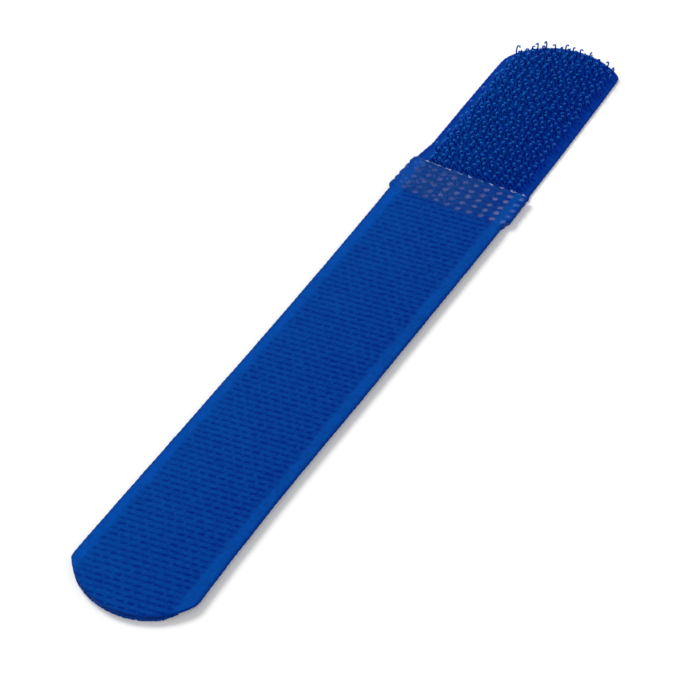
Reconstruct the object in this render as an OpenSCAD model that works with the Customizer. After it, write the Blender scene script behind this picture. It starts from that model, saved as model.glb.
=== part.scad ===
// Hook-and-loop cable tie, lying flat: a long strip of loop tape welded to a short tab of hook tape.
// The woven back of the loop tape and the hooks face up (+Z), the pile lies on the surface (z = 0).
// +X runs along the strip from its round loop end to its round hook end; the origin is under the middle.
// Both tapes are flexible, so each is cut into short links at the creases where it bends round a bundle.

/* [Tapes] */
// Width of both tapes
tape_w = 20; // [16:0.5:26]
// Length of the loop tape, from its round end to its cut end on the weld
loop_len = 109.2; // [90:0.1:140]
// Length of the hook tab that shows past the weld, round end included
tab_len = 40.3; // [32:0.1:50]
// Length over which the loop tape is welded on top of the hook tape
weld_len = 10.2; // [8:0.1:14]
// Thickness of the woven ground of the loop tape
loop_web_t = 0.5; // [0.4:0.05:0.8]
// Height of the napped loops that cover the ground of the loop tape on one side
pile_t = 1.0; // [0.8:0.1:1.4]
// Thickness of the woven ground of the hook tape
hook_web_t = 0.6; // [0.4:0.05:0.7]
// Plain selvedge left beside the pile on each long edge
pile_margin = 1.4; // [1:0.1:2.5]

/* [Cut ends] */
// Radius of the arc that cuts the end of the loop tape, in half widths of the tape
loop_end_round = 1.21; // [1.1:0.01:2]
// Radius of the arc that cuts the end of the hook tab, in half widths of the tape
hook_end_round = 1.3; // [1.3:0.01:2]
// How far off the middle of the tape the end of the hook tab is cut, in half widths
hook_end_skew = 0.2; // [0:0.01:0.25]
// Radius that softens the corners of both ends
corner_r = 1.5; // [0.4:0.1:2]

/* [Hooks] */
// Height of the hooks above their ground
hook_h = 1.7; // [1.3:0.1:1.8]
// Diameter of the nylon monofilament
wire_d = 0.22; // [0.16:0.01:0.27]
// Radius of the hook's curl, at the middle of the filament
curl_r = 0.3; // [0.2:0.01:0.33]
// Angle through which the curl turns over
curl_angle = 205; // [170:5:230]
// Height of the cut leg that is left on the other side of the loop that the hook was
leg_h = 0.6; // [0.3:0.05:0.8]
// Angle by which the plane of a hook and its leg is turned out of the length of the tape
hook_turn = -40; // [-45:5:45]
// Spacing of the hooks in a row, across the tape
hook_pitch = 1.42; // [1.2:0.02:1.8]
// Spacing of the staggered rows of hooks, along the tape
row_pitch = 1.08; // [1:0.02:1.6]
// Lean of the rows: their drift along the tape for each millimetre across it
row_lean = 0.126; // [0:0.002:0.2]
// Plain selvedge left beside the middles of the hooks on each long edge
hook_margin = 1.4; // [1.2:0.1:3]
// Least distance from the middle of a hook to the cut edge of the round end
hook_edge = 0.6; // [0.6:0.1:1.5]
// Clearance between a hook and the crease beside it
crease_clear = 0.06; // [0.02:0.01:0.2]

/* [Weld] */
// Spacing of the lines of weld dots across the tape
dot_line_pitch = 2; // [1.8:0.05:2.6]
// Spacing of the dots in a line, along the tape
dot_pitch = 1.6; // [1.5:0.02:2]
// Diameter of a weld dot
dot_d = 1.0; // [0.7:0.05:1.2]
// Depth to which the dots are pressed into the loop tape
dot_depth = 0.25; // [0.1:0.05:0.35]
// Least distance from a dot to the ends of the weld
dot_margin = 0.3; // [0.2:0.1:1]
// Shift of the whole pattern of dots towards the -Y edge
dot_shift = 0.8; // [0:0.05:0.8]
// Lean of the pattern of dots: its drift along the tape for each millimetre across it
dot_lean = 0.09; // [0:0.01:0.15]
// How far the pattern of dots bows towards the hooks at both edges
dot_bow = 0.6; // [0:0.05:1]
// How far the nylon squeezed out by the press stands out past both edges of the tapes
ripple_out = 0.7; // [0.3:0.05:0.9]
// Depth of the notches between the ripples of that nylon, one ripple beside each dot
ripple_depth = 0.2; // [0.1:0.02:0.3]
// How much farther the cut end of the loop tape reaches at its -Y edge than at the other
cut_slant = 1.8; // [0:0.1:2]
// Bare strip of hook ground between the cut end of the loop tape and the first crease of the tab
crease_gap = 0.5; // [0.45:0.05:1]

/* [Links] */
// Number of links that the free part of the loop tape bends into
loop_links = 20; // [16:1:20]
// Number of links that the hook tab bends into
tab_links = 8; // [6:1:8]

/* [Hidden] */
$fn = 48;
eps = 0.01;

half_w = tape_w / 2;
total_len = loop_len + tab_len;
loop_tip = -total_len / 2;
hook_tip = total_len / 2;
weld_end = loop_tip + loop_len;
weld_start = weld_end - weld_len;
weld_middle = (weld_start + weld_end) / 2;
tab_start = weld_end + cut_slant / 2 + crease_gap;
loop_link_l = (weld_start - loop_tip) / loop_links;
tab_link_l = (hook_tip - tab_start) / tab_links;

// The melt fills the height between the two grounds, so the loop tape runs level into the weld
melt_t = pile_t - hook_web_t;
weld_top = pile_t + loop_web_t;

loop_end_r = loop_end_round * half_w;
hook_end_r = hook_end_round * half_w;
hook_end_y = -hook_end_skew * half_w;

stem_h = hook_h - curl_r - wire_d / 2;
hook_columns = floor((tape_w - 2 * hook_margin) / hook_pitch) + 1;
hook_reach = curl_r * abs(cos(hook_turn)) + wire_d / 2 + crease_clear;
row_drift = row_lean * half_w;
hook_rows = floor((hook_tip - tab_start + 2 * row_drift) / row_pitch) + 1;

dot_room = weld_len - dot_d - 2 * dot_margin - 2 * dot_lean * half_w;
dots_per_line = floor(dot_room / dot_pitch) + 1;
dot_lines = floor((tape_w - dot_d) / dot_line_pitch) + 1;
ripple_r = (dot_pitch * dot_pitch / 4 + ripple_depth * ripple_depth) / (2 * ripple_depth);

web_blue = [0.02, 0.22, 0.56];
pile_blue = [0.04, 0.28, 0.66];
hook_blue = [0.05, 0.30, 0.68];
melt_blue = [0.02, 0.16, 0.45];
dot_grey = [0.36, 0.36, 0.58];

// Position along the tape of dot i in the line of dots at y; the press stood a little askew
function dot_x(i, y) =
    weld_middle + (i - (dots_per_line - 1) / 2) * dot_pitch
    - dot_lean * y + dot_bow * y * y / (half_w * half_w);

// Position along the tape of its cut end, at y
function cut_x(y) = weld_end - cut_slant * y / tape_w;

// What is taken away to soften the corner between an arc of radius r round the origin and an edge at e
module corner_waste(r, e) {
    soft_y = e - corner_r;
    soft_x = sqrt((r - corner_r) * (r - corner_r) - soft_y * soft_y);
    on_arc = r / (r - corner_r) + eps;
    difference() {
        polygon([
            [soft_x, soft_y],
            [soft_x, e + eps],
            [sqrt(r * r - e * e) + eps, e + eps],
            [soft_x * on_arc, soft_y * on_arc]
        ]);
        translate([soft_x, soft_y]) circle(corner_r);
    }
}

// A tape that ends in an arc of radius r round [-r, arc_y], and runs back along -X
module round_tape(r, arc_y, length) {
    translate([-r, arc_y]) difference() {
        intersection() {
            union() {
                circle(r, $fn = 180);
                translate([-length, -arc_y - half_w]) square([length, tape_w]);
            }
            translate([r - length, -arc_y - half_w]) square([length, tape_w]);
        }
        for (side = [-1, 1]) scale([1, side]) corner_waste(r, half_w - side * arc_y);
    }
}

// The stretch of the loop tape from x0 to x1, as wide as w
module loop_stretch(x0, x1, w) {
    intersection() {
        translate([loop_tip, 0]) mirror([1, 0]) round_tape(loop_end_r, 0, loop_len);
        translate([x0, -w / 2]) square([x1 - x0, w]);
    }
}

// The stretch of the hook tape from x0 to x1
module hook_stretch(x0, x1) {
    intersection() {
        translate([hook_tip, 0]) round_tape(hook_end_r, hook_end_y, tab_len);
        translate([x0, -half_w]) square([x1 - x0, tape_w]);
    }
}

// All weld dots
module dots() {
    for (line = [0:dot_lines - 1], i = [0:dots_per_line - 1]) {
        y = (line - (dot_lines - 1) / 2) * dot_line_pitch - dot_shift;
        translate([dot_x(i, y), y]) circle(d = dot_d);
    }
}

// Plan of the weld up to the first crease of the tab, with its ripples of squeezed-out nylon
module weld_plan() {
    intersection() {
        union() {
            translate([weld_start, -half_w]) square([tab_start - weld_start, tape_w]);
            for (side = [-1, 1], i = [0:dots_per_line - 1])
                translate([dot_x(i, side * half_w), side * (half_w + ripple_out - ripple_r)])
                    circle(ripple_r);
        }
        translate([weld_start, -tape_w]) square([tab_start - weld_start, 2 * tape_w]);
    }
}

// The part of that plan that the loop tape covers
module loop_tape_on_weld() {
    intersection() {
        weld_plan();
        polygon([
            [weld_start, -tape_w],
            [cut_x(-tape_w), -tape_w],
            [cut_x(tape_w), tape_w],
            [weld_start, tape_w]
        ]);
    }
}

// Hook tape's ground under the weld, with the dots' plugs through it
module weld_hook_web() {
    color(web_blue) linear_extrude(hook_web_t) difference() {
        weld_plan();
        dots();
    }
}

// Hooks and loops melted into one layer between the two grounds
module weld_melt() {
    color(melt_blue) translate([0, 0, hook_web_t]) linear_extrude(melt_t) difference() {
        loop_tape_on_weld();
        dots();
    }
}

// Loop tape's ground on top of the weld, with its cut end towards the hooks
module weld_loop_web() {
    color(web_blue) translate([0, 0, pile_t]) linear_extrude(loop_web_t) difference() {
        loop_tape_on_weld();
        dots();
    }
}

// Plugs of remelted nylon that the dots of the press leave, sunk below the loop tape's back
module weld_dots() {
    color(dot_grey) linear_extrude(weld_top - dot_depth) dots();
}

// Ground of one link of the loop tape; link 1 joins the weld and the last one has the round end
module loop_web(i) {
    color(web_blue) translate([0, 0, pile_t]) linear_extrude(loop_web_t)
        loop_stretch(weld_start - i * loop_link_l, weld_start - (i - 1) * loop_link_l, tape_w);
}

// Pile of one link of the loop tape, between its plain selvedges
module loop_pile(i) {
    color(pile_blue) linear_extrude(pile_t)
        loop_stretch(
            weld_start - i * loop_link_l,
            weld_start - (i - 1) * loop_link_l,
            tape_w - 2 * pile_margin
        );
}

// Ground of one link of the hook tab; link 1 joins the weld and the last one has the round end
module hook_web(i) {
    color(web_blue) linear_extrude(hook_web_t)
        hook_stretch(tab_start + (i - 1) * tab_link_l, tab_start + i * tab_link_l);
}

// One hook and the leg on the other side of its loop: stem, curl, cut leg under the curl's cut tip
module hook() {
    translate([curl_r, 0, 0]) cylinder(h = stem_h, d = wire_d, $fn = 16);
    translate([0, 0, stem_h]) rotate([90, 0, 0])
        rotate_extrude(angle = curl_angle, $fn = 32) translate([curl_r, 0]) circle(d = wire_d, $fn = 16);
    translate([-curl_r, 0, 0]) cylinder(h = leg_h, d = wire_d, $fn = 16);
}

// Hooks of one link of the tab, in staggered, leaning rows: two rows face one way, the next two the other.
// A hook whose loop would straddle a crease stands just beside the crease
module hooks(i) {
    arc_middle = [hook_tip - hook_end_r, hook_end_y];
    x0 = tab_start + (i - 1) * tab_link_l;
    x1 = x0 + tab_link_l;
    color(hook_blue) for (row = [0:hook_rows - 1]) {
        columns = hook_columns - row % 2;
        facing = row % 4 < 2 ? 0 : 180;
        for (column = [0:columns - 1]) {
            y = (column - (columns - 1) / 2) * hook_pitch;
            x = tab_start - row_drift + row * row_pitch - row_lean * y;
            p = [min(max(x, x0 + hook_reach), x1 - hook_reach), y];
            on_tape = p.x < arc_middle.x || norm(p - arc_middle) < hook_end_r - hook_edge;
            if (x >= x0 && x < x1 && on_tape)
                translate([p.x, p.y, hook_web_t]) rotate(hook_turn + facing) hook();
        }
    }
}

weld_hook_web();
weld_melt();
weld_loop_web();
weld_dots();
for (i = [1:loop_links]) {
    loop_web(i);
    loop_pile(i);
}
for (i = [1:tab_links]) {
    hook_web(i);
    hooks(i);
}
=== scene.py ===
import math

import bpy
import numpy as np
from mathutils import Matrix


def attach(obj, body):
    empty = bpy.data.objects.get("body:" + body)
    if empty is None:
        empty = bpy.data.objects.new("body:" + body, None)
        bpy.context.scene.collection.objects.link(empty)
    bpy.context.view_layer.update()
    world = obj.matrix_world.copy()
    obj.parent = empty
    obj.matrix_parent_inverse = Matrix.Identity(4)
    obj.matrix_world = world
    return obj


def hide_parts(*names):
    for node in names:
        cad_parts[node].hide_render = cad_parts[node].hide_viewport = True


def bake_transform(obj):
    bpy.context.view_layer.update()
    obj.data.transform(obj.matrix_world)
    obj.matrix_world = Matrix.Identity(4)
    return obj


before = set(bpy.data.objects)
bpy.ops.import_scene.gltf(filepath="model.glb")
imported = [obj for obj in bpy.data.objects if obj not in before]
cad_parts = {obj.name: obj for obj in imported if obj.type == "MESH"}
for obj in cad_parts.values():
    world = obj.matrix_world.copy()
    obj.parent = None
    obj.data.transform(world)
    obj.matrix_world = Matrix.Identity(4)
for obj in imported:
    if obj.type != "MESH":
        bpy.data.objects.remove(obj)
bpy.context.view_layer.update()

# --- Ground of the loop tape ---------------------------------------------------------------------
# A narrow plain weave of textured nylon yarn: thick picks run across the tape, thinner warp ends
# tie them down, and finer ends pull both selvedges smooth. Its round end is cut with a hot blade.
# It is one flexible ribbon, cut into one piece to each crease, from mid-link to mid-link.
MM = 0.001  # sizes are in millimetres, and only the finished meshes are in metres
HALF_W = 10.0
LOOP_TOP, LOOP_BOTTOM = 1.5, 1.0
LOOP_LINKS, LOOP_LINK = 20, 4.95
LOOP_TIP, LOOP_END_R, LOOP_END_Y = -74.2, 11.9, 0.4
LOOP_PICK = 1.143  # from pick to pick, along the tape
STEP = 0.11  # between the rings of a woven mesh

# The weld overlaps the tape's other end, and its dots lie in lines that lean and bow a little.
WELD_START, WELD_END = 24.25, 34.45
DOT_COLUMNS, DOT_LINES = 5, 10
DOT_PITCH, DOT_LINE_PITCH = 1.6, 2.0
DOT_ALONG, DOT_SHIFT, DOT_LEAN, DOT_BOW = 0.13, 0.8, 0.09, 0.6

# The ripple beside each dot of the outer lines: its radius, and how far it stands out.
RIPPLE_R = 1.7
RIPPLES_LEFT = (0.68, 0.7, 0.7, 0.56, 0.36)
RIPPLES_RIGHT = (0, 0.72, 0.62, 0.6, 0.56, 0.42)

# The tape swells and wanders off its line at each edge: (along, out).
DRIFT_LEFT = (
    (-60, 0.08), (-44, 0), (-16, -0.1), (4, 0.03), (20, 0.25), (24, 0.4),
    (28, 0.15), (31, 0.25), (35, 0.75), (39, 0.18), (50, 0.38), (70, 0.58),
)
DRIFT_RIGHT = (
    (-68, 0.75), (-64, 0.5), (-56, 0.26), (-44, 0.1), (-32, 0.12), (-20, 0.28),
    (20, 0.35), (25, 0.32), (27, 0.18), (36, 0.18), (50, -0.05), (70, -0.6),
)


def smooth(a, b, x):
    """Ease from 0 at a to 1 at b."""
    t = np.clip((x - a) / (b - a), 0, 1)
    return t * t * (3 - 2 * t)


def noise(x, y, seed, size):
    """Smooth noise from -1 to 1, its lumps about size mm across."""
    cells = 64
    u, v = np.asarray(x) / size, np.asarray(y) / size
    total = np.zeros(np.broadcast(u, v).shape)
    grid = np.random.default_rng(seed).uniform(-1, 1, (cells, cells))
    i, j = np.floor(u).astype(int), np.floor(v).astype(int)
    s, t = smooth(0, 1, u - i), smooth(0, 1, v - j)
    for di in (0, 1):
        for dj in (0, 1):
            weight = (s if di else 1 - s) * (t if dj else 1 - t)
            total += weight * grid[(i + di) % cells, (j + dj) % cells]
    return total


def round_end(straight, x, side, tip_sign, tip, radius, arc_y, soft):
    """How far out a long edge lies where the tape's round end meets it in a soft corner."""
    past = np.maximum(tip_sign * (x - tip) + radius, 0)
    arc = side * arc_y + np.sqrt(np.maximum(radius**2 - past**2, 0))
    return (straight + arc - np.hypot(straight - arc, soft)) / 2


def drift(x, y):
    """How far the tape's edge wanders out at x, on the side that y lies on."""
    left, right = (np.interp(x, *zip(*table)) for table in (DRIFT_LEFT, DRIFT_RIGHT))
    return np.where(np.asarray(y) > 0, left, right)


def dot_x(i, y):
    """Where dot i of the weld lies along the tape, in the line of dots at y."""
    middle = (WELD_START + WELD_END) / 2 + DOT_ALONG
    return middle + (i - 2) * DOT_PITCH - DOT_LEAN * y + DOT_BOW * (y / HALF_W) ** 2


def rippled(x, side, out=1.0):
    """Edge of the tapes, where the press squeezes out a ripple of nylon beside each dot."""
    y = np.full(np.shape(x), HALF_W - 0.02)
    for i, strength in enumerate(RIPPLES_LEFT if side > 0 else RIPPLES_RIGHT):
        d = x - dot_x(i, side * HALF_W)
        bump = HALF_W + out * strength - RIPPLE_R + np.sqrt(np.maximum(RIPPLE_R**2 - d**2, 0))
        y = np.maximum(y, bump)
    return y + drift(x, side)


def loop_edge(x, side):
    """How far out the loop tape's edge lies, on the +Y side or the -Y side."""
    y = round_end(
        rippled(x, side), x, side, -1, LOOP_TIP, LOOP_END_R, LOOP_END_Y, soft=0.3
    )
    return y + 0.03 * noise(x, side * 7.0, seed=3, size=2.5)


def ribbed_weave(x, y, pick, end, lean, tie_w, rib=0.45):
    """Thick picks tied down by thin ends: the weave's height, 0 to 1, and where the ends show."""
    wander = 0.05 * noise(x, y, seed=17, size=2.3) + 0.045 * noise(x, y, seed=27, size=0.7)
    p = (x + lean * y) / pick + wander
    q = y / end + 0.35 * noise(x, y, seed=18, size=1.9)
    d = p - np.round(p)
    half_pick = rib + 0.05 * noise(x, y, seed=28, size=1.1)
    weft = np.sqrt(np.maximum(1 - (d / half_pick) ** 2, 0))
    across = (q - np.floor(p)) / 2
    tie = (across - np.round(across)) * 2 * end / tie_w
    crown = 0.82 + 0.18 * noise(x, y, seed=29, size=0.9)
    warp = crown * np.sqrt(np.maximum(1 - tie**2, 0))
    return np.maximum(weft, warp), warp > weft


def loop_back(x, y):
    """The loop tape's back: relief in mm below its crests, shade from 0 to 1 with painted shade in
    the hollows and at the rim and painted light towards +Y, and the warp mask.
    """
    height, warp = ribbed_weave(x, y, LOOP_PICK, 0.78, 0.214, 0.36)
    fine, fine_warp = ribbed_weave(x, y, LOOP_PICK, 0.36, 0.05, 0.3, rib=0.6)
    selvedge = smooth(7.7, 8.6, np.abs(y) + 0.15 * noise(x, y, seed=8, size=1.2))
    pressed = smooth(WELD_START + 0.4, WELD_START + 2.2, x + 0.09 * y)
    # Painted light: the tape turns paler towards +Y, as if that side faced the lamp more.
    painted_light_slope = 0.09 * y / HALF_W
    uneven = 0.04 * noise(x, y, seed=19, size=2.2) + 0.11 * noise(x, y, seed=22, size=0.5)
    uneven = uneven + 0.1 * noise(x * 0.5, y, seed=30, size=0.25)
    # Painted shade: darker in a band along the outer rim, where the edge turns away from the light.
    painted_rim_shade = smooth(9.3, 9.75, np.abs(y) - drift(x, y))
    plain = 0.7 + 0.1 * fine + 1.3 * uneven + painted_light_slope - 0.3 * painted_rim_shade
    # Painted shade: the hollows between the picks are darker than the crests, on top of the random
    # tone.
    rib_tone_and_painted_shade = 0.16 + 0.37 * smooth(0.4, 1, height) + uneven + painted_light_slope
    shade = rib_tone_and_painted_shade * (1 - selvedge) + plain * selvedge
    shade = shade * (1 - 0.3 * pressed * (1 - selvedge))
    depth = 0.12 * (height - 1) * (1 - selvedge) + (0.05 * (fine - 1) + 0.02) * selvedge
    depth = depth * (1 - 0.6 * pressed) - 0.05 * pressed
    return depth, np.clip(shade, 0, 1), np.where(selvedge > 0.5, fine_warp, warp)


def mesh_piece(name, points_mm, faces, attributes):
    """A mesh object in metres from numpy arrays, with a UV map in millimetres."""
    mesh = bpy.data.meshes.new(name)
    mesh.vertices.add(len(points_mm))
    mesh.vertices.foreach_set("co", (points_mm * MM).astype(np.float32).ravel())
    sides = faces.shape[1]
    mesh.loops.add(len(faces) * sides)
    mesh.loops.foreach_set("vertex_index", faces.astype(np.int32).ravel())
    mesh.polygons.add(len(faces))
    first_loops = np.arange(0, len(faces) * sides, sides, dtype=np.int32)
    mesh.polygons.foreach_set("loop_start", first_loops)
    mesh.polygons.foreach_set("loop_total", np.full(len(faces), sides, dtype=np.int32))
    mesh.update(calc_edges=True)
    mesh.polygons.foreach_set("use_smooth", np.ones(len(faces), dtype=bool))
    uv = mesh.uv_layers.new(name="weave")
    uv.data.foreach_set("uv", points_mm[faces.ravel()][:, :2].astype(np.float32).ravel())
    for key, values in attributes.items():
        attribute = mesh.attributes.new(key, "FLOAT", "POINT")
        attribute.data.foreach_set("value", values.astype(np.float32))
    piece = bpy.data.objects.new(name, mesh)
    bpy.context.scene.collection.objects.link(piece)
    return piece


EDGE_POINTS = 7  # round each edge of a tape's cross-section


def slab_ring(x, edges, top, bottom, relief_top, relief_bottom, across=200):
    """One cross-section of a woven tape: top, rounded edge, underside, rounded edge."""
    low, high = -edges(np.array([x]), -1)[0], edges(np.array([x]), 1)[0]
    r = (top - bottom) / 2
    inset = min(r, max((high - low) / 2 - 1e-3, 1e-3))
    y = np.linspace(low + inset, high - inset, across)
    xs = np.full(across, x)
    depth, shade, warp = relief_top(xs, y)
    under, under_shade, under_warp = relief_bottom(xs, y)
    turn = np.linspace(0, np.pi, EDGE_POINTS + 2)[1:-1]
    bulge = 1 + 0.1 * np.sin(2 * np.pi * x / LOOP_PICK)
    right_y = high - inset + inset * bulge * np.sin(turn)
    left_y = low + inset - inset * bulge * np.sin(turn)
    z_mid = bottom + r
    right_z = z_mid + r * np.cos(turn) + np.linspace(depth[-1], -under[-1], EDGE_POINTS)
    left_z = z_mid - r * np.cos(turn) + np.linspace(-under[0], depth[0], EDGE_POINTS)
    # Painted shade: the rounded edges are darker, as they turn away from the light.
    side = np.full(EDGE_POINTS, 0.3)
    ring_y = np.concatenate([y, right_y, y[::-1], left_y])
    ring_z = np.concatenate([top + depth, right_z, (bottom - under)[::-1], left_z])
    points = np.stack([np.full(len(ring_y), x), ring_y, ring_z], 1)
    shades = np.concatenate([shade, side, under_shade[::-1], side])
    warps = np.concatenate([warp, side * 0, under_warp[::-1], side * 0]).astype(float)
    return points, shades, warps


def ribbon_piece(name, xs, ring, attributes=("shade", "warp"), closed=()):
    """A ribbon: the same ring of points at every x, joined by faces, closed at the rows named."""
    rows = [ring(x) for x in xs]
    points = np.concatenate([row[0] for row in rows])
    extra = [np.concatenate([row[k + 1] for row in rows]) for k in range(len(attributes))]
    n, m = len(xs), len(rows[0][0])
    a = (np.arange(n - 1)[:, None] * m + np.arange(m)[None, :]).ravel()
    b = (np.arange(n - 1)[:, None] * m + (np.arange(m)[None, :] + 1) % m).ravel()
    faces = [np.stack([a, b, b + m, a + m], 1)]
    # an end cap is a strip of quads between the upper and the lower half of the ring
    half_edge = EDGE_POINTS // 2
    upper = np.arange(-half_edge, m // 2 - half_edge - 1) % m
    lower = np.arange(m - half_edge - 2, m // 2 - half_edge - 1, -1)
    for row in closed:
        cap = np.stack([upper[:-1], upper[1:], lower[1:], lower[:-1]], 1) + row % n * m
        faces.append(cap if row else cap[:, ::-1])
    return mesh_piece(name, points, np.concatenate(faces), dict(zip(attributes, extra)))


def new_material(name, roughness, specular=0.5, specular_tint=(1.0, 1.0, 1.0)):
    """A material, its nodes, its links and its shader with the gloss set."""
    material = bpy.data.materials.new(name)
    material.use_nodes = True
    nodes, links = material.node_tree.nodes, material.node_tree.links
    shader = nodes["Principled BSDF"]
    shader.inputs["Roughness"].default_value = roughness
    shader.inputs["Specular IOR Level"].default_value = specular
    shader.inputs["Specular Tint"].default_value = (*specular_tint, 1.0)
    return material, nodes, links, shader


def mesh_value(nodes, name):
    """A value that the mesh carries at its points."""
    node = nodes.new("ShaderNodeAttribute")
    node.attribute_name = name
    return node.outputs["Fac"]


def flat_place(nodes):
    """The place on the flat tape in millimetres, which stays when the tape bends."""
    node = nodes.new("ShaderNodeUVMap")
    node.uv_map = "weave"
    return node.outputs["UV"]


def lumps(nodes, links, scale, detail=2.0, distortion=0.0, place=None):
    """Noise from 0 to 1."""
    node = nodes.new("ShaderNodeTexNoise")
    node.inputs["Scale"].default_value = scale
    node.inputs["Detail"].default_value = detail
    node.inputs["Distortion"].default_value = distortion
    if place is not None:
        links.new(place, node.inputs["Vector"])
    return node.outputs["Fac"]


def calculate(nodes, links, operation, *values):
    """The result of a Math node on sockets and numbers."""
    node = nodes.new("ShaderNodeMath")
    node.operation = operation
    for value, socket in zip(values, node.inputs):
        if isinstance(value, float):
            socket.default_value = value
        else:
            links.new(value, socket)
    return node.outputs[0]


def tint_between(nodes, links, level, stops):
    """The tint that a level picks between stops, each of them (position, tint)."""
    node = nodes.new("ShaderNodeValToRGB")
    for _ in stops[2:]:
        node.color_ramp.elements.new(0.5)
    for element, (position, tint) in zip(node.color_ramp.elements, stops):
        element.position, element.color = position, (*tint, 1)
    links.new(level, node.inputs["Fac"])
    return node.outputs["Color"]


NYLON_SHEEN = (0.02, 0.35, 1.0)


def yarn_material(name, tints, roughness):
    """Nylon yarn: tints from the painted shade of the hollows to the crests, and fine filaments
    along each yarn.
    """
    material, nodes, links, shader = new_material(name, roughness, 0.05, NYLON_SHEEN)
    place = flat_place(nodes)
    mottle = lumps(nodes, links, 3.1, 6.0, place=place)
    shade = mesh_value(nodes, "shade")
    level = calculate(nodes, links, "MULTIPLY_ADD", mottle, 0.4, shade)
    level = calculate(nodes, links, "SUBTRACT", level, 0.2)
    links.new(tint_between(nodes, links, level, tints), shader.inputs["Base Color"])
    filaments = []
    for turn in (0.0, math.pi / 2):
        turned = nodes.new("ShaderNodeMapping")
        turned.inputs["Rotation"].default_value = (0, 0, turn)
        links.new(place, turned.inputs["Vector"])
        wave = nodes.new("ShaderNodeTexWave")
        wave.inputs["Scale"].default_value = 2.75
        wave.inputs["Distortion"].default_value = 2.5
        wave.inputs["Detail"].default_value = 3.0
        wave.inputs["Detail Scale"].default_value = 2.0
        links.new(turned.outputs["Vector"], wave.inputs["Vector"])
        filaments.append(wave.outputs["Fac"])
    along_yarn = nodes.new("ShaderNodeMix")
    links.new(mesh_value(nodes, "warp"), along_yarn.inputs[0])
    links.new(filaments[0], along_yarn.inputs[2])
    links.new(filaments[1], along_yarn.inputs[3])
    bump = nodes.new("ShaderNodeBump")
    bump.inputs["Strength"].default_value = 0.35
    bump.inputs["Distance"].default_value = 0.00004
    links.new(along_yarn.outputs[0], bump.inputs["Height"])
    links.new(bump.outputs["Normal"], shader.inputs["Normal"])
    return material


# Dark tints carry the painted shade of the hollows and edges, pale ones the crests and the
# selvedges.
LOOP_TINTS = [
    (0.0, (0.0003, 0.014, 0.205)),
    (0.38, (0.0005, 0.0376, 0.2576)),
    (0.62, (0.0007, 0.052, 0.29)),
    (1.0, (0.0008, 0.066, 0.385)),
]
loop_yarn = yarn_material("loop_tape_yarn", LOOP_TINTS, 0.62)


def bend_over(piece, a, b, start_x, end_x, z):
    """Bake the piece's placement into its mesh; a, b, start_x, end_x and z are not used."""
    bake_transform(piece)


def loop_bodies(k):
    """The bodies on both sides of crease k of the loop tape."""
    return ("weld" if k == 1 else f"loop_link_{k - 1}", f"loop_link_{k}")


def loop_span(k):
    """Where the piece at crease k starts and ends, and where a bend across the crease would start
    and end.
    """
    x = WELD_START - (k - 1) * LOOP_LINK
    start = x + 0.9 if k == 1 else x + LOOP_LINK / 2
    end = LOOP_TIP if k == LOOP_LINKS else x - LOOP_LINK / 2
    return start, end, (x + 0.7 if k == 1 else start), x - LOOP_LINK / 2


def closer_to_tip(start, end, count):
    """Places of the rings from start to a round end, closer together towards its tip."""
    t = np.linspace(0, 1, count + 10)
    return end + (start - end) * (1 - t) ** 1.7


def loop_ring(x):
    """A cross-section of the loop tape's ground. Its underside is the same weave, offset."""
    return slab_ring(
        x, loop_edge, LOOP_TOP, LOOP_BOTTOM, loop_back, lambda a, b: loop_back(a + 0.6, b)
    )


for k in range(1, LOOP_LINKS + 1):
    start, end, bend_start, bend_end = loop_span(k)
    xs = np.linspace(start, end, int(round((start - end) / STEP)) + 1)
    if k == LOOP_LINKS:
        xs = closer_to_tip(start, end + 0.004, len(xs))
    closed = (-1,) if k == LOOP_LINKS else ()
    piece = ribbon_piece(f"loop_ground_{k}", xs, loop_ring, closed=closed)
    piece.data.materials.append(loop_yarn)
    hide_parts(f"loop_web_{k}")
    bend_over(piece, *loop_bodies(k), bend_start, bend_end, LOOP_TOP)

# --- Pile of the loop tape -----------------------------------------------------------------------
# Fine nylon filaments stand out of the ground in loops a millimetre high, brushed so that they lean
# and tangle. A matted layer of crushed filaments lies between the loops and hides the ground.
PILE_HALF = 8.6
FIBRE_R, FIBRE_POINTS, FIBRES_PER_MM2 = 0.045, 9, 7.5
CUT_FIBRES = 900  # more of them, close together along the round cut
END_X = LOOP_TIP + LOOP_END_R
napped_nylon, nodes, links, shader = new_material("napped_filament", 0.6, 0.1, NYLON_SHEEN)
matted = lumps(nodes, links, 7.0, 4.0, 1.5, flat_place(nodes))
level = calculate(nodes, links, "MULTIPLY_ADD", matted, 0.9, mesh_value(nodes, "shade"))
level = calculate(nodes, links, "SUBTRACT", level, 0.4)
# Dark tints carry the painted shade low in the pile, pale ones the tops of the loops and the cut
# wall.
PILE_TINTS = [(0.0, (0.0006, 0.017, 0.17)), (1.0, (0.002, 0.065, 0.40))]
links.new(tint_between(nodes, links, level, PILE_TINTS), shader.inputs["Base Color"])


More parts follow.
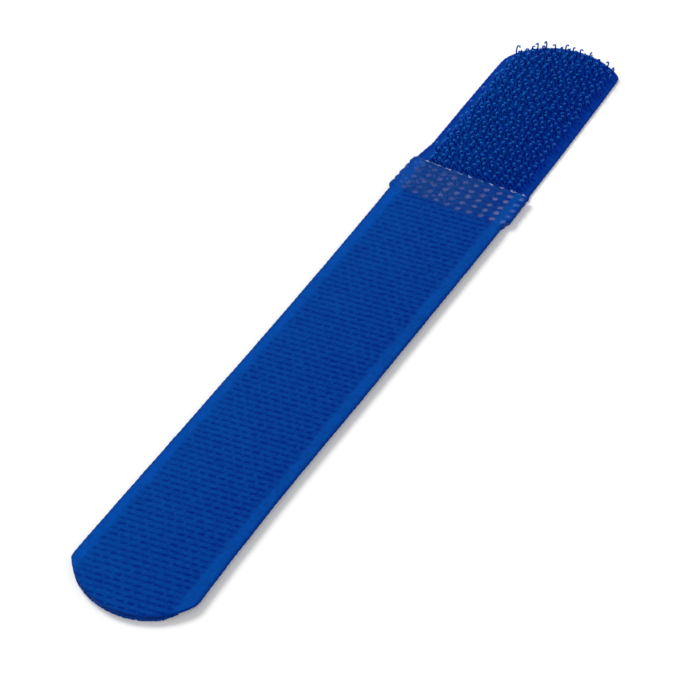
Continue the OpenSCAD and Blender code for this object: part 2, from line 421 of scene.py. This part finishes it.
def tubes(paths, radii, sides, shades):
    """Thin closed tubes as one mesh, from paths (tubes, points, 3) and a radius at each point."""
    n, m, _ = paths.shape
    tangent = np.gradient(paths, axis=1)
    tangent /= np.linalg.norm(tangent, axis=2, keepdims=True) + 1e-9
    helper = np.where(np.abs(tangent[..., 2:]) < 0.9, [[[0, 0, 1.0]]], [[[1.0, 0, 0]]])
    u = np.cross(tangent, helper)
    u /= np.linalg.norm(u, axis=2, keepdims=True)
    for i in range(1, m):
        ahead = tangent[:, i]
        carried = u[:, i - 1] - (u[:, i - 1] * ahead).sum(1, keepdims=True) * ahead
        u[:, i] = carried / (np.linalg.norm(carried, axis=1, keepdims=True) + 1e-9)
    v = np.cross(tangent, u)
    angle = np.arange(sides) * 2 * np.pi / sides
    circle = np.cos(angle)[:, None] * u[:, :, None] + np.sin(angle)[:, None] * v[:, :, None]
    points = (paths[:, :, None] + radii[:, :, None, None] * circle).reshape(-1, 3)
    ring = np.arange(sides)
    start = (np.arange(n)[:, None, None] * m + np.arange(m - 1)[None, :, None]) * sides
    a, b = start + ring, start + (ring + 1) % sides
    faces = np.stack([a, b, b + sides, a + sides], -1).reshape(-1, 4)
    first = np.arange(n)[:, None] * m * sides
    caps = [[0, 1, 2, 3]] if sides == 4 else [[0, 1, 2, 3], [0, 3, 4, 7], [4, 5, 6, 7]]
    for cap in caps:
        faces = np.concatenate([faces, first + cap[::-1], first + (m - 1) * sides + cap])
    return points, faces, np.repeat(shades.reshape(-1), sides)


def fibre_roots(k, start, end, random):
    """Where the filaments of one piece of pile stand."""
    count = int((start - end) * 2 * PILE_HALF * FIBRES_PER_MM2)
    x = random.uniform(end + 0.1, start - 0.1, count)
    y = random.uniform(-PILE_HALF + 0.1, PILE_HALF - 0.1, count)
    keep = (x > END_X) | (np.hypot(x - END_X, y - LOOP_END_Y) < LOOP_END_R - 0.25)
    x, y = x[keep], y[keep]
    if k == LOOP_LINKS:
        angle = random.uniform(-0.9, 0.9, CUT_FIBRES)
        from_centre = LOOP_END_R - random.uniform(0.12, 0.6, CUT_FIBRES)
        cut_x = END_X - from_centre * np.cos(angle)
        cut_y = LOOP_END_Y + from_centre * np.sin(angle)
        inside = (np.abs(cut_y) < PILE_HALF - 0.1) & (cut_x < start)
        x, y = np.concatenate([x, cut_x[inside]]), np.concatenate([y, cut_y[inside]])
    return x, y


def fibre_paths(x, y, start, end, random):
    """Low loops over x, y that lean and sway, each paler as it rises: painted shade towards its
    roots.
    """
    count = len(x)
    t = np.linspace(0, 1, FIBRE_POINTS)[None, :]
    turn = random.normal(0.2, 0.7, count)[:, None]
    span = random.uniform(0.25, 0.7, count)[:, None]
    high = random.uniform(0.55, 0.93, count)[:, None]
    high = high * (0.25 + 0.75 * smooth(0, 1.8, PILE_HALF - np.abs(y)))[:, None]
    lean_x, lean_y = random.normal(-0.2, 0.25, (2, count))[..., None]
    along = span * (t - 0.5) + 0.12 * np.sin(2 * np.pi * t + random.uniform(0, 6, (count, 1)))
    lift = np.sin(np.pi * t) ** 0.7
    sway = 0.1 * np.sin(3 * np.pi * t + random.uniform(0, 6, (count, 1)))
    path_x = x[:, None] + along * np.cos(turn) - sway * np.sin(turn) + lean_x * lift
    path_y = y[:, None] + along * np.sin(turn) + sway * np.cos(turn) + lean_y * lift
    path = np.stack([np.clip(path_x, end, start), path_y, LOOP_BOTTOM - high * lift], -1)
    from_centre = path[..., :2] - (END_X, LOOP_END_Y)
    reach = np.hypot(from_centre[..., 0], from_centre[..., 1])
    most = LOOP_END_R - 0.06
    outside = (reach > most) & (from_centre[..., 0] < 0)
    path[..., :2] -= from_centre * np.where(outside, 1 - most / reach, 0)[..., None]
    # Painted shade: a filament is darker low down and paler at the top of its loop.
    return path, np.clip(0.2 + 0.75 * lift * high + random.normal(0, 0.12, (count, 1)), 0, 1)


def pile_mat(k, start, end):
    """The matted layer under the filaments, with a wall along the round cut, painted dark under the
    loops and paler on the wall.
    """
    mat_x = np.linspace(end, start, 19)
    if k == LOOP_LINKS:
        mat_x = np.concatenate([[end + 0.06, end + 0.07, end + 0.2], mat_x[1:]])
    mat_y = np.arange(-PILE_HALF, PILE_HALF + 0.1, 0.3)
    x, y = np.meshgrid(mat_x, mat_y, indexing="ij")
    reach = np.where(y > 0, loop_edge(x, 1), loop_edge(x, -1))
    reach = np.minimum(reach - 0.1, PILE_HALF)
    cut_off = np.abs(y) - reach > 0.3
    y = np.clip(y, -reach, reach)
    from_cut = LOOP_END_R - np.hypot(np.minimum(x - END_X, 0), y - LOOP_END_Y)
    near_end = 1 - smooth(0, 0.9, from_cut)
    deep = 0.34 + 0.4 * near_end
    deep = deep + 0.16 * noise(x, y, seed=11, size=0.7) + 0.1 * noise(x, y, seed=12, size=0.33)
    z = LOOP_BOTTOM - deep * smooth(0, 0.4 + 1.6 * near_end, PILE_HALF - np.abs(y))
    z[cut_off | (x < LOOP_TIP + 0.065)] = LOOP_BOTTOM
    a = np.arange(len(mat_x) - 1)[:, None] * len(mat_y) + np.arange(len(mat_y) - 1)
    a = a.ravel()
    faces = np.stack([a, a + len(mat_y), a + len(mat_y) + 1, a + 1], 1)
    # Painted shade and light: the mat is dark under the loops and paler on the wall along the cut,
    # which lies open to the light.
    return np.stack([x, y, z], -1).reshape(-1, 3), faces, 0.12 + 0.4 * near_end.ravel()


pile_random = np.random.default_rng(20)
for k in range(1, LOOP_LINKS + 1):
    start, end, bend_start, bend_end = loop_span(k)
    start = min(start, WELD_START - 0.05)
    x, y = fibre_roots(k, start, end, pile_random)
    paths, shades = fibre_paths(x, y, start, end, pile_random)
    points, faces, shades = tubes(paths, np.full(paths.shape[:2], FIBRE_R), 4, shades)
    mat_points, mat_faces, mat_shades = pile_mat(k, start, end)
    piece = mesh_piece(
        f"pile_{k}",
        np.concatenate([points, mat_points]),
        np.concatenate([faces, mat_faces + len(points)]),
        {"shade": np.concatenate([shades, mat_shades])},
    )
    piece.data.materials.append(napped_nylon)
    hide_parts(f"loop_pile_{k}")
    bend_over(piece, *loop_bodies(k), bend_start, bend_end, LOOP_TOP)

# --- Weld ----------------------------------------------------------------------------------------
# The loop tape lies face down on the hooks and a patterned hot press melts the two together. The
# pressed dots turn pale, the melt comes out in ripples along both edges, and the tape's cut end
# shows a row of pale frayed yarn.
CUT_SLANT, CUT_BOW = 1.8, 0.2
weld_random = np.random.default_rng(7)
dot_rows = [((DOT_LINES - 1) / 2 - line) * DOT_LINE_PITCH - DOT_SHIFT for line in range(DOT_LINES)]


def dot_strength(y):
    """How pale the dots of a line turn: more towards -Y, where the press stood lower."""
    return 0.7 - 0.04 * y if y > -9 else 0.6


dot_spots = np.array([
    (dot_x(i, y), y, dot_strength(y) * weld_random.uniform(0.7, 1.15))
    for y in dot_rows
    for i in range(DOT_COLUMNS)
])
dot_spots[:, :2] += weld_random.normal(0, 0.07, (len(dot_spots), 2))


def cut_x(y):
    """Place along the strip of the loop tape's cut end, which is slanted and a little bowed."""
    return WELD_END - CUT_SLANT * y / (2 * HALF_W) - CUT_BOW * (1 - (y / HALF_W) ** 2)


def dot_marks(x, y):
    """How deep the press went at a spot, and how pale it left the nylon there."""
    deep, pale = np.zeros(x.shape), np.zeros(x.shape)
    for dot_along, dot_across, strength in dot_spots:
        near = np.abs(x - dot_along) < 1
        dx, dy = x[near] - dot_along, y[near] - dot_across
        # a dot is longer one way, askew to the tape, and its rim is ragged
        oval = np.hypot(0.51 * dx - 0.86 * dy, 1.4 * (0.86 * dx + 0.51 * dy))
        ragged = oval + 0.14 * noise(x[near], y[near], seed=5, size=0.3)
        inside = 1 - smooth(0.32, 0.66, ragged)
        deep[near] = np.maximum(deep[near], inside)
        speckle = 0.78 + 0.45 * noise(x[near], y[near], seed=6, size=0.22)
        pale[near] = np.maximum(pale[near], inside * strength * speckle)
    streaks = smooth(0.3, 0.9, noise(x, y, seed=26, size=0.35))
    streaks = streaks * smooth(-4, 2, y) * smooth(26, 27, x)
    return deep, np.clip(np.maximum(pale, 0.33 * streaks), 0, 1)


def weld_top(x, y):
    """The loop tape's back on the weld, with the dots pressed in."""
    depth, shade, warp = loop_back(x, y)
    deep, _ = dot_marks(x, y)
    return depth - 0.07 * deep + 0.03 * noise(x, y, seed=9, size=1.4), shade, warp


def weld_ring(x):
    """A cross-section of the loop tape's ground on the weld, with its pale and bruised places."""
    points, shades, warps = slab_ring(
        x, loop_edge, LOOP_TOP, LOOP_BOTTOM, weld_top, loop_back, across=240
    )
    along, y = points[:, 0], points[:, 1]
    _, pale = dot_marks(along, y)
    past_first_dots = along - (dot_x(0, y) - 0.3)
    bruised = smooth(-1.6, 1.4, past_first_dots) * (1 - 0.75 * smooth(8.4, 9.2, np.abs(y)))
    patchy = 0.52 - 0.0035 * (y - 2.5) ** 2 + 0.2 * noise(along, y, seed=33, size=0.6)
    on_top = points[:, 2] > 1.1
    return points, shades, warps, pale * on_top, np.clip(bruised * patchy, 0, 0.9)


def laid_over(nodes, links, amount, under, over):
    """A tint laid over another by an amount from 0 to 1. Each is a socket or a fixed tint."""
    node = nodes.new("ShaderNodeMix")
    node.data_type = "RGBA"
    links.new(amount, node.inputs[0])
    for tint, socket in zip((under, over), node.inputs[6:8]):
        if isinstance(tint, tuple):
            socket.default_value = (*tint, 1)
        else:
            links.new(tint, socket)
    return node.outputs[2]


pressed_yarn = yarn_material("pressed_yarn", LOOP_TINTS, 0.5)
nodes, links = pressed_yarn.node_tree.nodes, pressed_yarn.node_tree.links
place = nodes.new("ShaderNodeSeparateXYZ")
links.new(flat_place(nodes), place.inputs[0])
at_edge = nodes.new("ShaderNodeMapRange")
at_edge.inputs["From Min"].default_value = -8.7
at_edge.inputs["From Max"].default_value = -9.2
links.new(place.outputs["Y"], at_edge.inputs["Value"])
PALE, PALE_AT_EDGE, BRUISE = (0.115, 0.135, 0.33), (0.09, 0.17, 0.52), (0.009, 0.047, 0.165)
pale_tint = laid_over(nodes, links, at_edge.outputs[0], PALE, PALE_AT_EDGE)
base = nodes["Principled BSDF"].inputs["Base Color"]
yarn_tint = base.links[0].from_socket
bruised = laid_over(nodes, links, mesh_value(nodes, "pressed"), yarn_tint, BRUISE)
links.new(laid_over(nodes, links, mesh_value(nodes, "pale"), bruised, pale_tint), base)


def draw_back_to_cut(piece):
    """Draw what reaches past the slanted cut back to it, a little unevenly."""
    points = np.array([vertex.co for vertex in piece.data.vertices]) / MM
    cut = cut_x(points[:, 1]) + 0.12 * noise(points[:, 1], points[:, 2], seed=14, size=0.35)
    points[:, 0] = np.minimum(points[:, 0], cut)
    piece.data.vertices.foreach_set("co", (points * MM).astype(np.float32).ravel())


start = loop_span(1)[0]
xs = np.linspace(start, WELD_END + 1.0, int((WELD_END + 1.0 - start) / 0.08))
values = ("shade", "warp", "pale", "pressed")
piece = ribbon_piece("weld_loop_ground", xs, weld_ring, values, closed=(-1,))
piece.data.materials.append(pressed_yarn)
draw_back_to_cut(piece)
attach(piece, "weld")
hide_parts("weld_loop_web", "weld_dots")

melt, nodes, links, shader = new_material("melted_nylon", 0.4, specular_tint=(0.2, 0.5, 1.0))
MELT_TINTS = [(0.0, (0.0004, 0.014, 0.16)), (1.0, (0.0015, 0.05, 0.32))]
melt_tint = tint_between(nodes, links, lumps(nodes, links, 900.0), MELT_TINTS)
links.new(melt_tint, shader.inputs["Base Color"])


def tuck(x):
    """How far the hook tape and the melt stay in under the loop tape where the weld starts."""
    return 0.6 * (1 - smooth(WELD_START + 1.5, WELD_START + 3.5, x))


def melt_edge(x, side):
    """How far out the melt comes, on the +Y side or the -Y side."""
    return rippled(x, side, 0.75) - tuck(x) + 0.03 * noise(x, side * 5.0, seed=16, size=0.8)


def melt_relief(x, y):
    """Lumpy relief, an even shade and no warp."""
    return 0.04 * noise(x, y, seed=15, size=0.5), np.full(x.shape, 0.4), np.zeros(x.shape)


def melt_ring(x):
    """A cross-section of the melt, which fills the height between the two grounds."""
    return slab_ring(x, melt_edge, 1.15, 0.4, melt_relief, melt_relief, across=40)


xs = np.linspace(WELD_START, WELD_END - 0.3, 110)
piece = ribbon_piece("weld_melt_layer", xs, melt_ring, closed=(0, -1))
piece.data.materials.append(melt)
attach(piece, "weld")
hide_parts("weld_melt")

# The cut end frays in one tuft to each line of dots, and in single yarns between them.
frayed_yarn, nodes, links, shader = new_material("frayed_yarn", 0.6)
grain = lumps(nodes, links, 2500.0)
level = calculate(nodes, links, "MULTIPLY_ADD", grain, 0.5, mesh_value(nodes, "shade"))
FRAY_TINTS = [(0.0, (0.01, 0.1, 0.42)), (1.0, (0.48, 0.47, 0.68))]
links.new(tint_between(nodes, links, level, FRAY_TINTS), shader.inputs["Base Color"])
TUFT_YARNS, SINGLE_YARNS = 5, 34
tufts = np.repeat(dot_rows, TUFT_YARNS) + weld_random.normal(0, 0.3, DOT_LINES * TUFT_YARNS)
y = np.concatenate([tufts, weld_random.uniform(-9.9, 9.9, SINGLE_YARNS)])
count = len(y)
t = np.linspace(0, 1, 6)[None, :]
length = weld_random.uniform(0.25, 0.65, (count, 1)) * (t - 0.5)
turn = weld_random.normal(1.5, 0.3, (count, 1)) * weld_random.choice([-1, 1], (count, 1))
cut = cut_x(y)[:, None] - 0.05 + weld_random.normal(0, 0.07, (count, 1))
height = 1.44 + 0.07 * np.sin(np.pi * t) + weld_random.normal(0, 0.04, (count, 1))
paths = np.stack([cut + length * np.cos(turn), y[:, None] + length * np.sin(turn), height], -1)
bright = np.repeat(weld_random.uniform(0, 0.6, DOT_LINES), TUFT_YARNS)
bright = bright + weld_random.uniform(-0.1, 0.2, len(tufts))
bright = np.concatenate([bright, weld_random.uniform(-0.35, 0, SINGLE_YARNS)])
thick = np.where(np.arange(count) < len(tufts), 0.07, 0.045)[:, None] * (1 - 0.5 * t**2)
points, faces, shades = tubes(paths, thick, 4, np.repeat(bright[:, None], t.size, 1))
piece = mesh_piece("frayed_cut_end", points, faces, {"shade": shades})
piece.data.materials.append(frayed_yarn)
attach(piece, "weld")

# --- Ground of the hook tape ---------------------------------------------------------------------
# A dense weave of the same nylon, stiffened on the back, 0.6 mm thick. It runs from under the weld
# to a round end that was cut a little askew, and is plain for about 1.5 mm beside the hooks.
HOOK_TIP, HOOK_END_R, HOOK_END_Y = 74.75, 13.0, -2.0
TAB_START, TAB_LINKS, TAB_LINK = 35.85, 8, 4.8625
HOOK_GROUND, HOOK_PICK = 0.6, 1.07
# Dark tints carry the painted shade of the hollows and rims, pale ones the crests and the +Y side.
HOOK_TINTS = [
    (0.0, (0.0003, 0.02, 0.27)),
    (0.5, (0.0006, 0.037, 0.29)),
    (1.0, (0.001, 0.056, 0.32)),
]
hook_yarn = yarn_material("hook_tape_yarn", HOOK_TINTS, 0.6)


def hook_tape_edge(x, side):
    """How far out the hook tape's edge lies, on the +Y side or the -Y side."""
    straight = rippled(x, side, 0.55) - tuck(x)
    soft = 0.3 if side > 0 else 0.8
    y = round_end(straight, x, side, 1, HOOK_TIP, HOOK_END_R, HOOK_END_Y, soft)
    return y + 0.02 * noise(x, side * 3.0, seed=21, size=2.0)


def hook_ground(x, y):
    """The hook tape's ground: relief in mm below its crests, shade from 0 to 1 with painted shade
    in the hollows and at the rims and painted light towards +Y, and the warp mask.
    """
    height, warp = ribbed_weave(x, y, HOOK_PICK, 0.71, 0.126, 0.3)
    fine, fine_warp = ribbed_weave(x, y, HOOK_PICK, 0.36, 0.05, 0.3, rib=0.6)
    selvedge = smooth(8.4, 9.3, np.abs(y) + 0.1 * noise(x, y, seed=23, size=1.0))
    uneven = 0.06 * noise(x, y, seed=24, size=1.6) + 0.05 * noise(x, y, seed=31, size=0.4)
    # Painted shade: darker in a band along both rims, where the edges turn away from the light.
    painted_rim_shade = smooth(8.9, 9.5, y - drift(x, y)) + smooth(9.6, 9.9, -y - drift(x, y))
    # Painted light: both the plain bands and the weave grow paler towards +Y.
    plain = 0.48 + 0.1 * fine + 0.12 * y / HALF_W - 0.4 * painted_rim_shade
    # Painted shade: the hollows of the weave are darker than its crests.
    rib_tone_and_painted_shade = 0.45 + 0.2 * height + 0.4 * y / HALF_W
    shade = rib_tone_and_painted_shade * (1 - selvedge) + plain * selvedge + uneven
    depth = 0.1 * (height - 1) * (1 - selvedge) + 0.04 * (fine - 1) * selvedge
    return depth, np.clip(shade, 0, 1), np.where(selvedge > 0.5, fine_warp, warp)


def hook_ring(x):
    """A cross-section of the hook tape's ground. Its underside is the same weave, offset."""
    return slab_ring(
        x, hook_tape_edge, HOOK_GROUND, 0.0, hook_ground,
        lambda a, b: hook_ground(a + 0.5, b), across=190,
    )


def tab_bodies(k):
    """The bodies on both sides of crease k of the hook tab."""
    return ("weld" if k == 1 else f"tab_link_{k - 1}", f"tab_link_{k}")


def tab_span(k):
    """Where the piece at crease k starts and ends, and where a bend across the crease would start
    and end.
    """
    x = TAB_START + (k - 1) * TAB_LINK
    start = x - 0.9 if k == 1 else x - TAB_LINK / 2
    end = HOOK_TIP if k == TAB_LINKS else x + TAB_LINK / 2
    return start, end, (x - 0.7 if k == 1 else start), x + TAB_LINK / 2


xs = np.linspace(WELD_START, tab_span(1)[0], 100)
piece = ribbon_piece("weld_hook_ground", xs, hook_ring, closed=(0,))
piece.data.materials.append(hook_yarn)
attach(piece, "weld")
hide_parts("weld_hook_web")
for k in range(1, TAB_LINKS + 1):
    start, end, bend_start, bend_end = tab_span(k)
    xs = np.linspace(start, end, int(round((end - start) / STEP)) + 1)
    if k == TAB_LINKS:
        xs = closer_to_tip(start, end - 0.004, len(xs))
    closed = (-1,) if k == TAB_LINKS else ()
    piece = ribbon_piece(f"hook_ground_{k}", xs, hook_ring, closed=closed)
    piece.data.materials.append(hook_yarn)
    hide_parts(f"hook_web_{k}")
    bend_over(piece, *tab_bodies(k), bend_start, bend_end, HOOK_GROUND)

# --- Hooks ---------------------------------------------------------------------------------------
# Nylon monofilament is woven in as standing loops, set by heat and cut through on one side, which
# leaves a hook 1.75 mm high and the stub of its other leg. Two rows face one way and two the other.
HOOK_H, STUB_H, CURL_R, WIRE_R = 1.75, 0.75, 0.21, 0.14
STEM_POINTS, CURL_POINTS = 7, 12

# Four hooks in each repeat of the weave: where a head is, and how far off it the stub stands.
FIRST_HOOK, REPEAT_ALONG, REPEAT_ACROSS = (39.84, -8.55), (4.34, 0.05), (0.18, -1.42)
REPEAT_HOOKS = [
    ((0, 0), (0.35, -0.3)),
    ((1.0, 0.75), (0.35, -0.3)),
    ((2.05, 0.6), (-0.35, 0.3)),
    ((3.2, 0.78), (-0.35, 0.3)),
]
WIRE_SHEEN = (0.06, 0.42, 1.0)
monofilament, nodes, links, shader = new_material("hook_monofilament", 0.33, 0.45, WIRE_SHEEN)
shader.inputs["Subsurface Weight"].default_value = 0.15
shader.inputs["Subsurface Radius"].default_value = (0.0001, 0.0002, 0.0006)
# From painted shade low on a hook to a painted highlight on its head.
WIRE_TINTS = [(0.5, (0.0006, 0.028, 0.34)), (0.95, (0.004, 0.13, 0.5))]
wire_tint = tint_between(nodes, links, mesh_value(nodes, "shade"), WIRE_TINTS)
links.new(wire_tint, shader.inputs["Base Color"])


def standing(x, y, turn, side, lean, up):
    """Paths of filaments that stand at x, y on the ground and bend to one side as they rise."""
    return np.stack([
        x[:, None] + side * np.cos(turn) + lean[0] * up,
        y[:, None] + side * np.sin(turn) + lean[1] * up,
        HOOK_GROUND + up,
    ], -1)


def hooks_and_stubs(head_x, head_y, stub_x, stub_y, random):
    """Paths of hooks that open towards their stubs, and of the stubs."""
    n = len(head_x)
    curl = CURL_R * random.uniform(0.85, 1.1, (n, 1))
    high = HOOK_H - CURL_R - WIRE_R + random.normal(0, 0.07, (n, 1))
    over = np.radians(random.uniform(165, 225, (n, 1)))
    stem = np.linspace(-0.2, 1, STEM_POINTS)[None, :]
    bow = 0.08 * np.sin(np.pi * np.clip(stem, 0, 1))
    angle = np.linspace(0, 1, CURL_POINTS + 1)[None, 1:] * over
    side = np.concatenate([-curl - bow, -curl * np.cos(angle)], 1)
    up = np.concatenate([high * stem, high + curl * np.sin(angle)], 1)
    turn = np.arctan2(stub_y - head_y, stub_x - head_x)[:, None] + random.normal(0, 0.25, (n, 1))
    hooks = standing(head_x, head_y, turn, side, random.normal(0, 0.08, (2, n, 1)), up)
    up = stem * STUB_H * random.uniform(0.8, 1.12, (n, 1))
    side = 0.16 * np.clip(stem, 0, 1) * (1 - np.clip(stem, 0, 1)) * 2
    stubs = standing(stub_x, stub_y, turn, side, random.normal(0, 0.1, (2, n, 1)), up)
    return hooks, stubs


def painted_wire_light(paths):
    """Paler towards the top of a hook and towards the +Y side of the tape: a painted highlight on
    the heads, and painted light towards +Y.
    """
    return np.clip((paths[..., 2] - HOOK_GROUND) / HOOK_H + 0.016 * paths[..., 1], 0, 1)


hook_random = np.random.default_rng(31)
places = []
for i in range(-3, 10):
    for j in range(-14, 3):
        x = FIRST_HOOK[0] + i * REPEAT_ALONG[0] + j * REPEAT_ACROSS[0]
        y = FIRST_HOOK[1] + i * REPEAT_ALONG[1] + j * REPEAT_ACROSS[1]
        for (along, across), (off_x, off_y) in REPEAT_HOOKS:
            head_x, head_y = x + along, y + across
            places.append((head_x, head_y, head_x + off_x, head_y + off_y))
head_x, head_y, stub_x, stub_y = (
    np.array(values) + hook_random.normal(0, 0.06, len(values)) for values in zip(*places)
)
on_tape = (np.minimum(head_y, stub_y) > -8.9) & (np.maximum(head_y, stub_y) < 9.1)
on_tape &= np.minimum(head_x, stub_x) > cut_x(head_y) + 0.45
for x, y in ((head_x, head_y), (stub_x, stub_y)):
    for side in (1, -1):
        on_tape &= side * y < hook_tape_edge(x + 0.2, side) - 0.25
head_x, head_y, stub_x, stub_y = (v[on_tape] for v in (head_x, head_y, stub_x, stub_y))
for k in range(TAB_LINKS + 1):
    start, end = tab_span(k)[:2] if k else (WELD_END - 2, tab_span(1)[0])
    middle = (head_x + stub_x) / 2
    here = (middle >= start) & (middle < end)
    hooks, stubs = hooks_and_stubs(
        head_x[here], head_y[here], stub_x[here], stub_y[here], hook_random
    )
    taper = np.concatenate([np.ones(STEM_POINTS), np.linspace(1, 0.85, CURL_POINTS)])
    hook_r = np.tile(WIRE_R * taper, (len(hooks), 1))
    points, faces, shades = tubes(hooks, hook_r, 8, painted_wire_light(hooks))
    stub_r = np.full(stubs.shape[:2], WIRE_R)
    stub_points, stub_faces, stub_shades = tubes(stubs, stub_r, 8, painted_wire_light(stubs))
    piece = mesh_piece(
        f"hooks_row_{k}",
        np.concatenate([points, stub_points]),
        np.concatenate([faces, stub_faces + len(points)]),
        {"shade": np.concatenate([shades, stub_shades])},
    )
    piece.data.materials.append(monofilament)
    if k == 0:
        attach(piece, "weld")
    else:
        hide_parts(f"hooks_{k}")
        bend_over(piece, *tab_bodies(k), *tab_span(k)[2:], HOOK_GROUND)

# --- Table, light and camera ---------------------------------------------------------------------
# A plain white table top under a wide soft lamp behind the strip, a weaker one in front, and an
# even white surround. The camera looks down along the strip from beyond its loop end.
table_top, nodes, links, shader = new_material("table_top", 0.9)
shader.inputs["Base Color"].default_value = (0.88, 0.88, 0.87, 1)
shader.inputs["Emission Color"].default_value = (1, 1, 1, 1)
ray = nodes.new("ShaderNodeLightPath").outputs
seen = calculate(nodes, links, "MAXIMUM", ray["Is Camera Ray"], ray["Is Glossy Ray"])
seen = calculate(nodes, links, "MAXIMUM", seen, ray["Is Transmission Ray"])
glow = calculate(nodes, links, "MULTIPLY", seen, 0.1)
links.new(glow, shader.inputs["Emission Strength"])
mesh = bpy.data.meshes.new("table")
mesh.from_pydata([(-3, -3, 0), (3, -3, 0), (3, 3, 0), (-3, 3, 0)], [], [(0, 1, 2, 3)])
table = bpy.data.objects.new("table", mesh)
bpy.context.scene.collection.objects.link(table)
mesh.materials.append(table_top)

world = bpy.data.worlds.new("surround")
bpy.context.scene.world = world
world.use_nodes = True
background = world.node_tree.nodes["Background"]
background.inputs["Color"].default_value = (1, 1, 1, 1)
background.inputs["Strength"].default_value = 0.48


def area_lamp(name, place, size, power):
    """A square lamp that faces the middle of the strip."""
    lamp = bpy.data.lights.new(name, "AREA")
    lamp.size = size
    lamp.energy = power
    holder = bpy.data.objects.new(name, lamp)
    bpy.context.scene.collection.objects.link(holder)
    z = np.array(place, float)
    z /= np.linalg.norm(z)
    x = np.cross([0, 0, 1.0], z)
    x /= np.linalg.norm(x)
    matrix = np.eye(4)
    matrix[:3] = np.stack([x, np.cross(z, x), z, place], 1)
    holder.matrix_world = Matrix(matrix.tolist())


area_lamp("key_lamp", (0.3, 0.8, 1.0), 0.5, 11.3)
area_lamp("fill_lamp", (-0.9, -0.4, 0.9), 0.8, 3.6)

camera = bpy.data.cameras.new("camera")
camera.sensor_width = 36
camera.lens = 134.7055
camera.clip_start = 0.01
eye = bpy.data.objects.new("camera", camera)
bpy.context.scene.collection.objects.link(eye)
right = (0.50919237, -0.85929599, 0.04830671)
down = (-0.61095953, -0.40042754, -0.68292477)
ahead = (0.60617785, 0.31822663, -0.72888972)
place = (-0.262689, -0.135175, 0.303534)
rows = [[right[i], -down[i], -ahead[i], place[i]] for i in range(3)]
eye.matrix_world = Matrix(rows + [[0, 0, 0, 1]])
bpy.context.scene.camera = eye
bpy.context.scene.view_settings.view_transform = "Standard"
